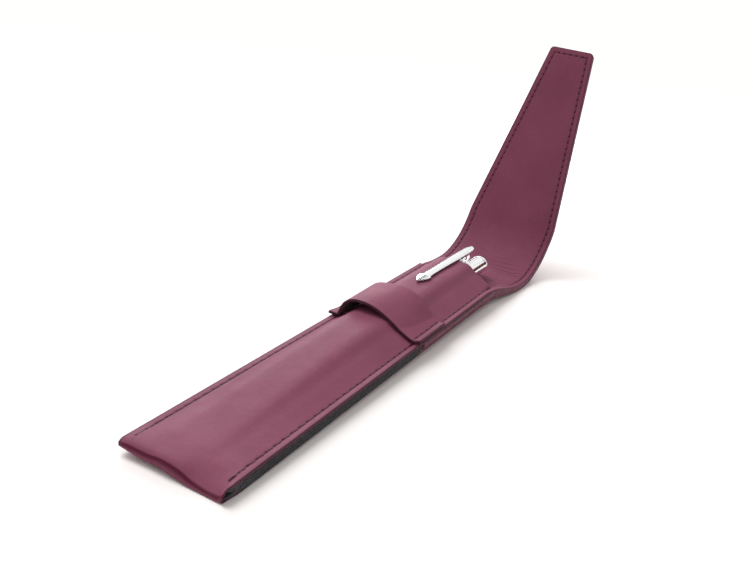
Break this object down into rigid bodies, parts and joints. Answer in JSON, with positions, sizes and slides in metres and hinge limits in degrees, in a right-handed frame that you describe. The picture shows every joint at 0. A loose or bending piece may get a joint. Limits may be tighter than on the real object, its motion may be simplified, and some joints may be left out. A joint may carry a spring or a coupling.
{
  "type": "pen case",
  "caption": "Long leather pen case with a stitched pocket, a keeper band across it and a tapered flap that folds over, shown open with slim pens inside.",
  "frame": {"origin": "middle of the pocket's back face, where the case rests", "axes": "+X across the case, +Y along it from the folded bottom end to the mouth and flap, +Z away from the surface it rests on"},
  "size_m": [0.041, 0.2713, 0.0953],
  "materials": {
    "plum_leather": "satin, fine grain",
    "plum_lining_leather": "matt, fine grain",
    "charcoal_cloth": "fuzzy cut edge",
    "maroon_thread": "waxed thread",
    "chrome": "polished",
    "black_lacquer": "gloss"
  },
  "bodies": {
    "case": {"outer_leather": "plum_leather", "pocket_lining": "charcoal_cloth", "flap_lining_root": "plum_lining_leather", "keeper_band": "plum_leather", "seam_thread_left": "maroon_thread", "seam_thread_right": "maroon_thread", "mouth_thread_left": "maroon_thread", "mouth_thread_right": "maroon_thread"},
    "flap_heel": {"flap_heel_outer": "plum_leather", "flap_heel_lining": "plum_lining_leather", "flap_heel_thread_left": "maroon_thread", "flap_heel_thread_right": "maroon_thread"},
    "flap_neck": {"flap_neck_outer": "plum_leather", "flap_neck_lining": "plum_lining_leather", "flap_neck_thread_left": "maroon_thread", "flap_neck_thread_right": "maroon_thread"},
    "flap_tongue": {"flap_tongue_outer": "plum_leather", "flap_tongue_lining": "plum_lining_leather", "flap_tongue_thread": "maroon_thread"},
    "pen_a": {"pen_a_cap": "chrome", "pen_a_ring": "chrome", "pen_a_barrel": "black_lacquer", "pen_a_nose": "chrome", "pen_a_clip_post": "chrome"},
    "pen_a_clip": {"pen_a_clip": "chrome"},
    "pen_b": {"pen_b_cap": "chrome", "pen_b_ring": "chrome", "pen_b_barrel": "black_lacquer", "pen_b_nose": "chrome"}
  },
  "joints": [
    {"name": "flap_fold", "type": "hinge", "parent": "case", "child": "flap_heel", "pos_m": [0, 0.1147, 0.0027], "axis": [1, 0, 0], "range_deg": [0, 79.5]},
    {"name": "flap_curl", "type": "hinge", "parent": "flap_heel", "child": "flap_neck", "pos_m": [0, 0.12867, 0.0056], "axis": [1, 0, 0], "range_deg": [0, 40.6]},
    {"name": "flap_open", "type": "hinge", "parent": "flap_neck", "child": "flap_tongue", "pos_m": [0, 0.13598, 0.00697], "axis": [1, 0, 0], "range_deg": [-65, 0]},
    {"name": "pen_a_slide", "type": "slide", "parent": "case", "child": "pen_a", "axis": [0, -0.9998, -0.0176], "range_m": [-0.012, 0]},
    {"name": "pen_b_slide", "type": "slide", "parent": "case", "child": "pen_b", "axis": [0, -0.9998, -0.0176], "range_m": [-0.012, 0]},
    {"name": "clip_flex", "type": "hinge", "parent": "pen_a", "child": "pen_a_clip", "pos_m": [-0.0018, 0.1007, 0.01525], "axis": [1, 0, 0], "range_deg": [-6, 0], "stiffness_Nm_per_rad": 0.05}
  ]
}
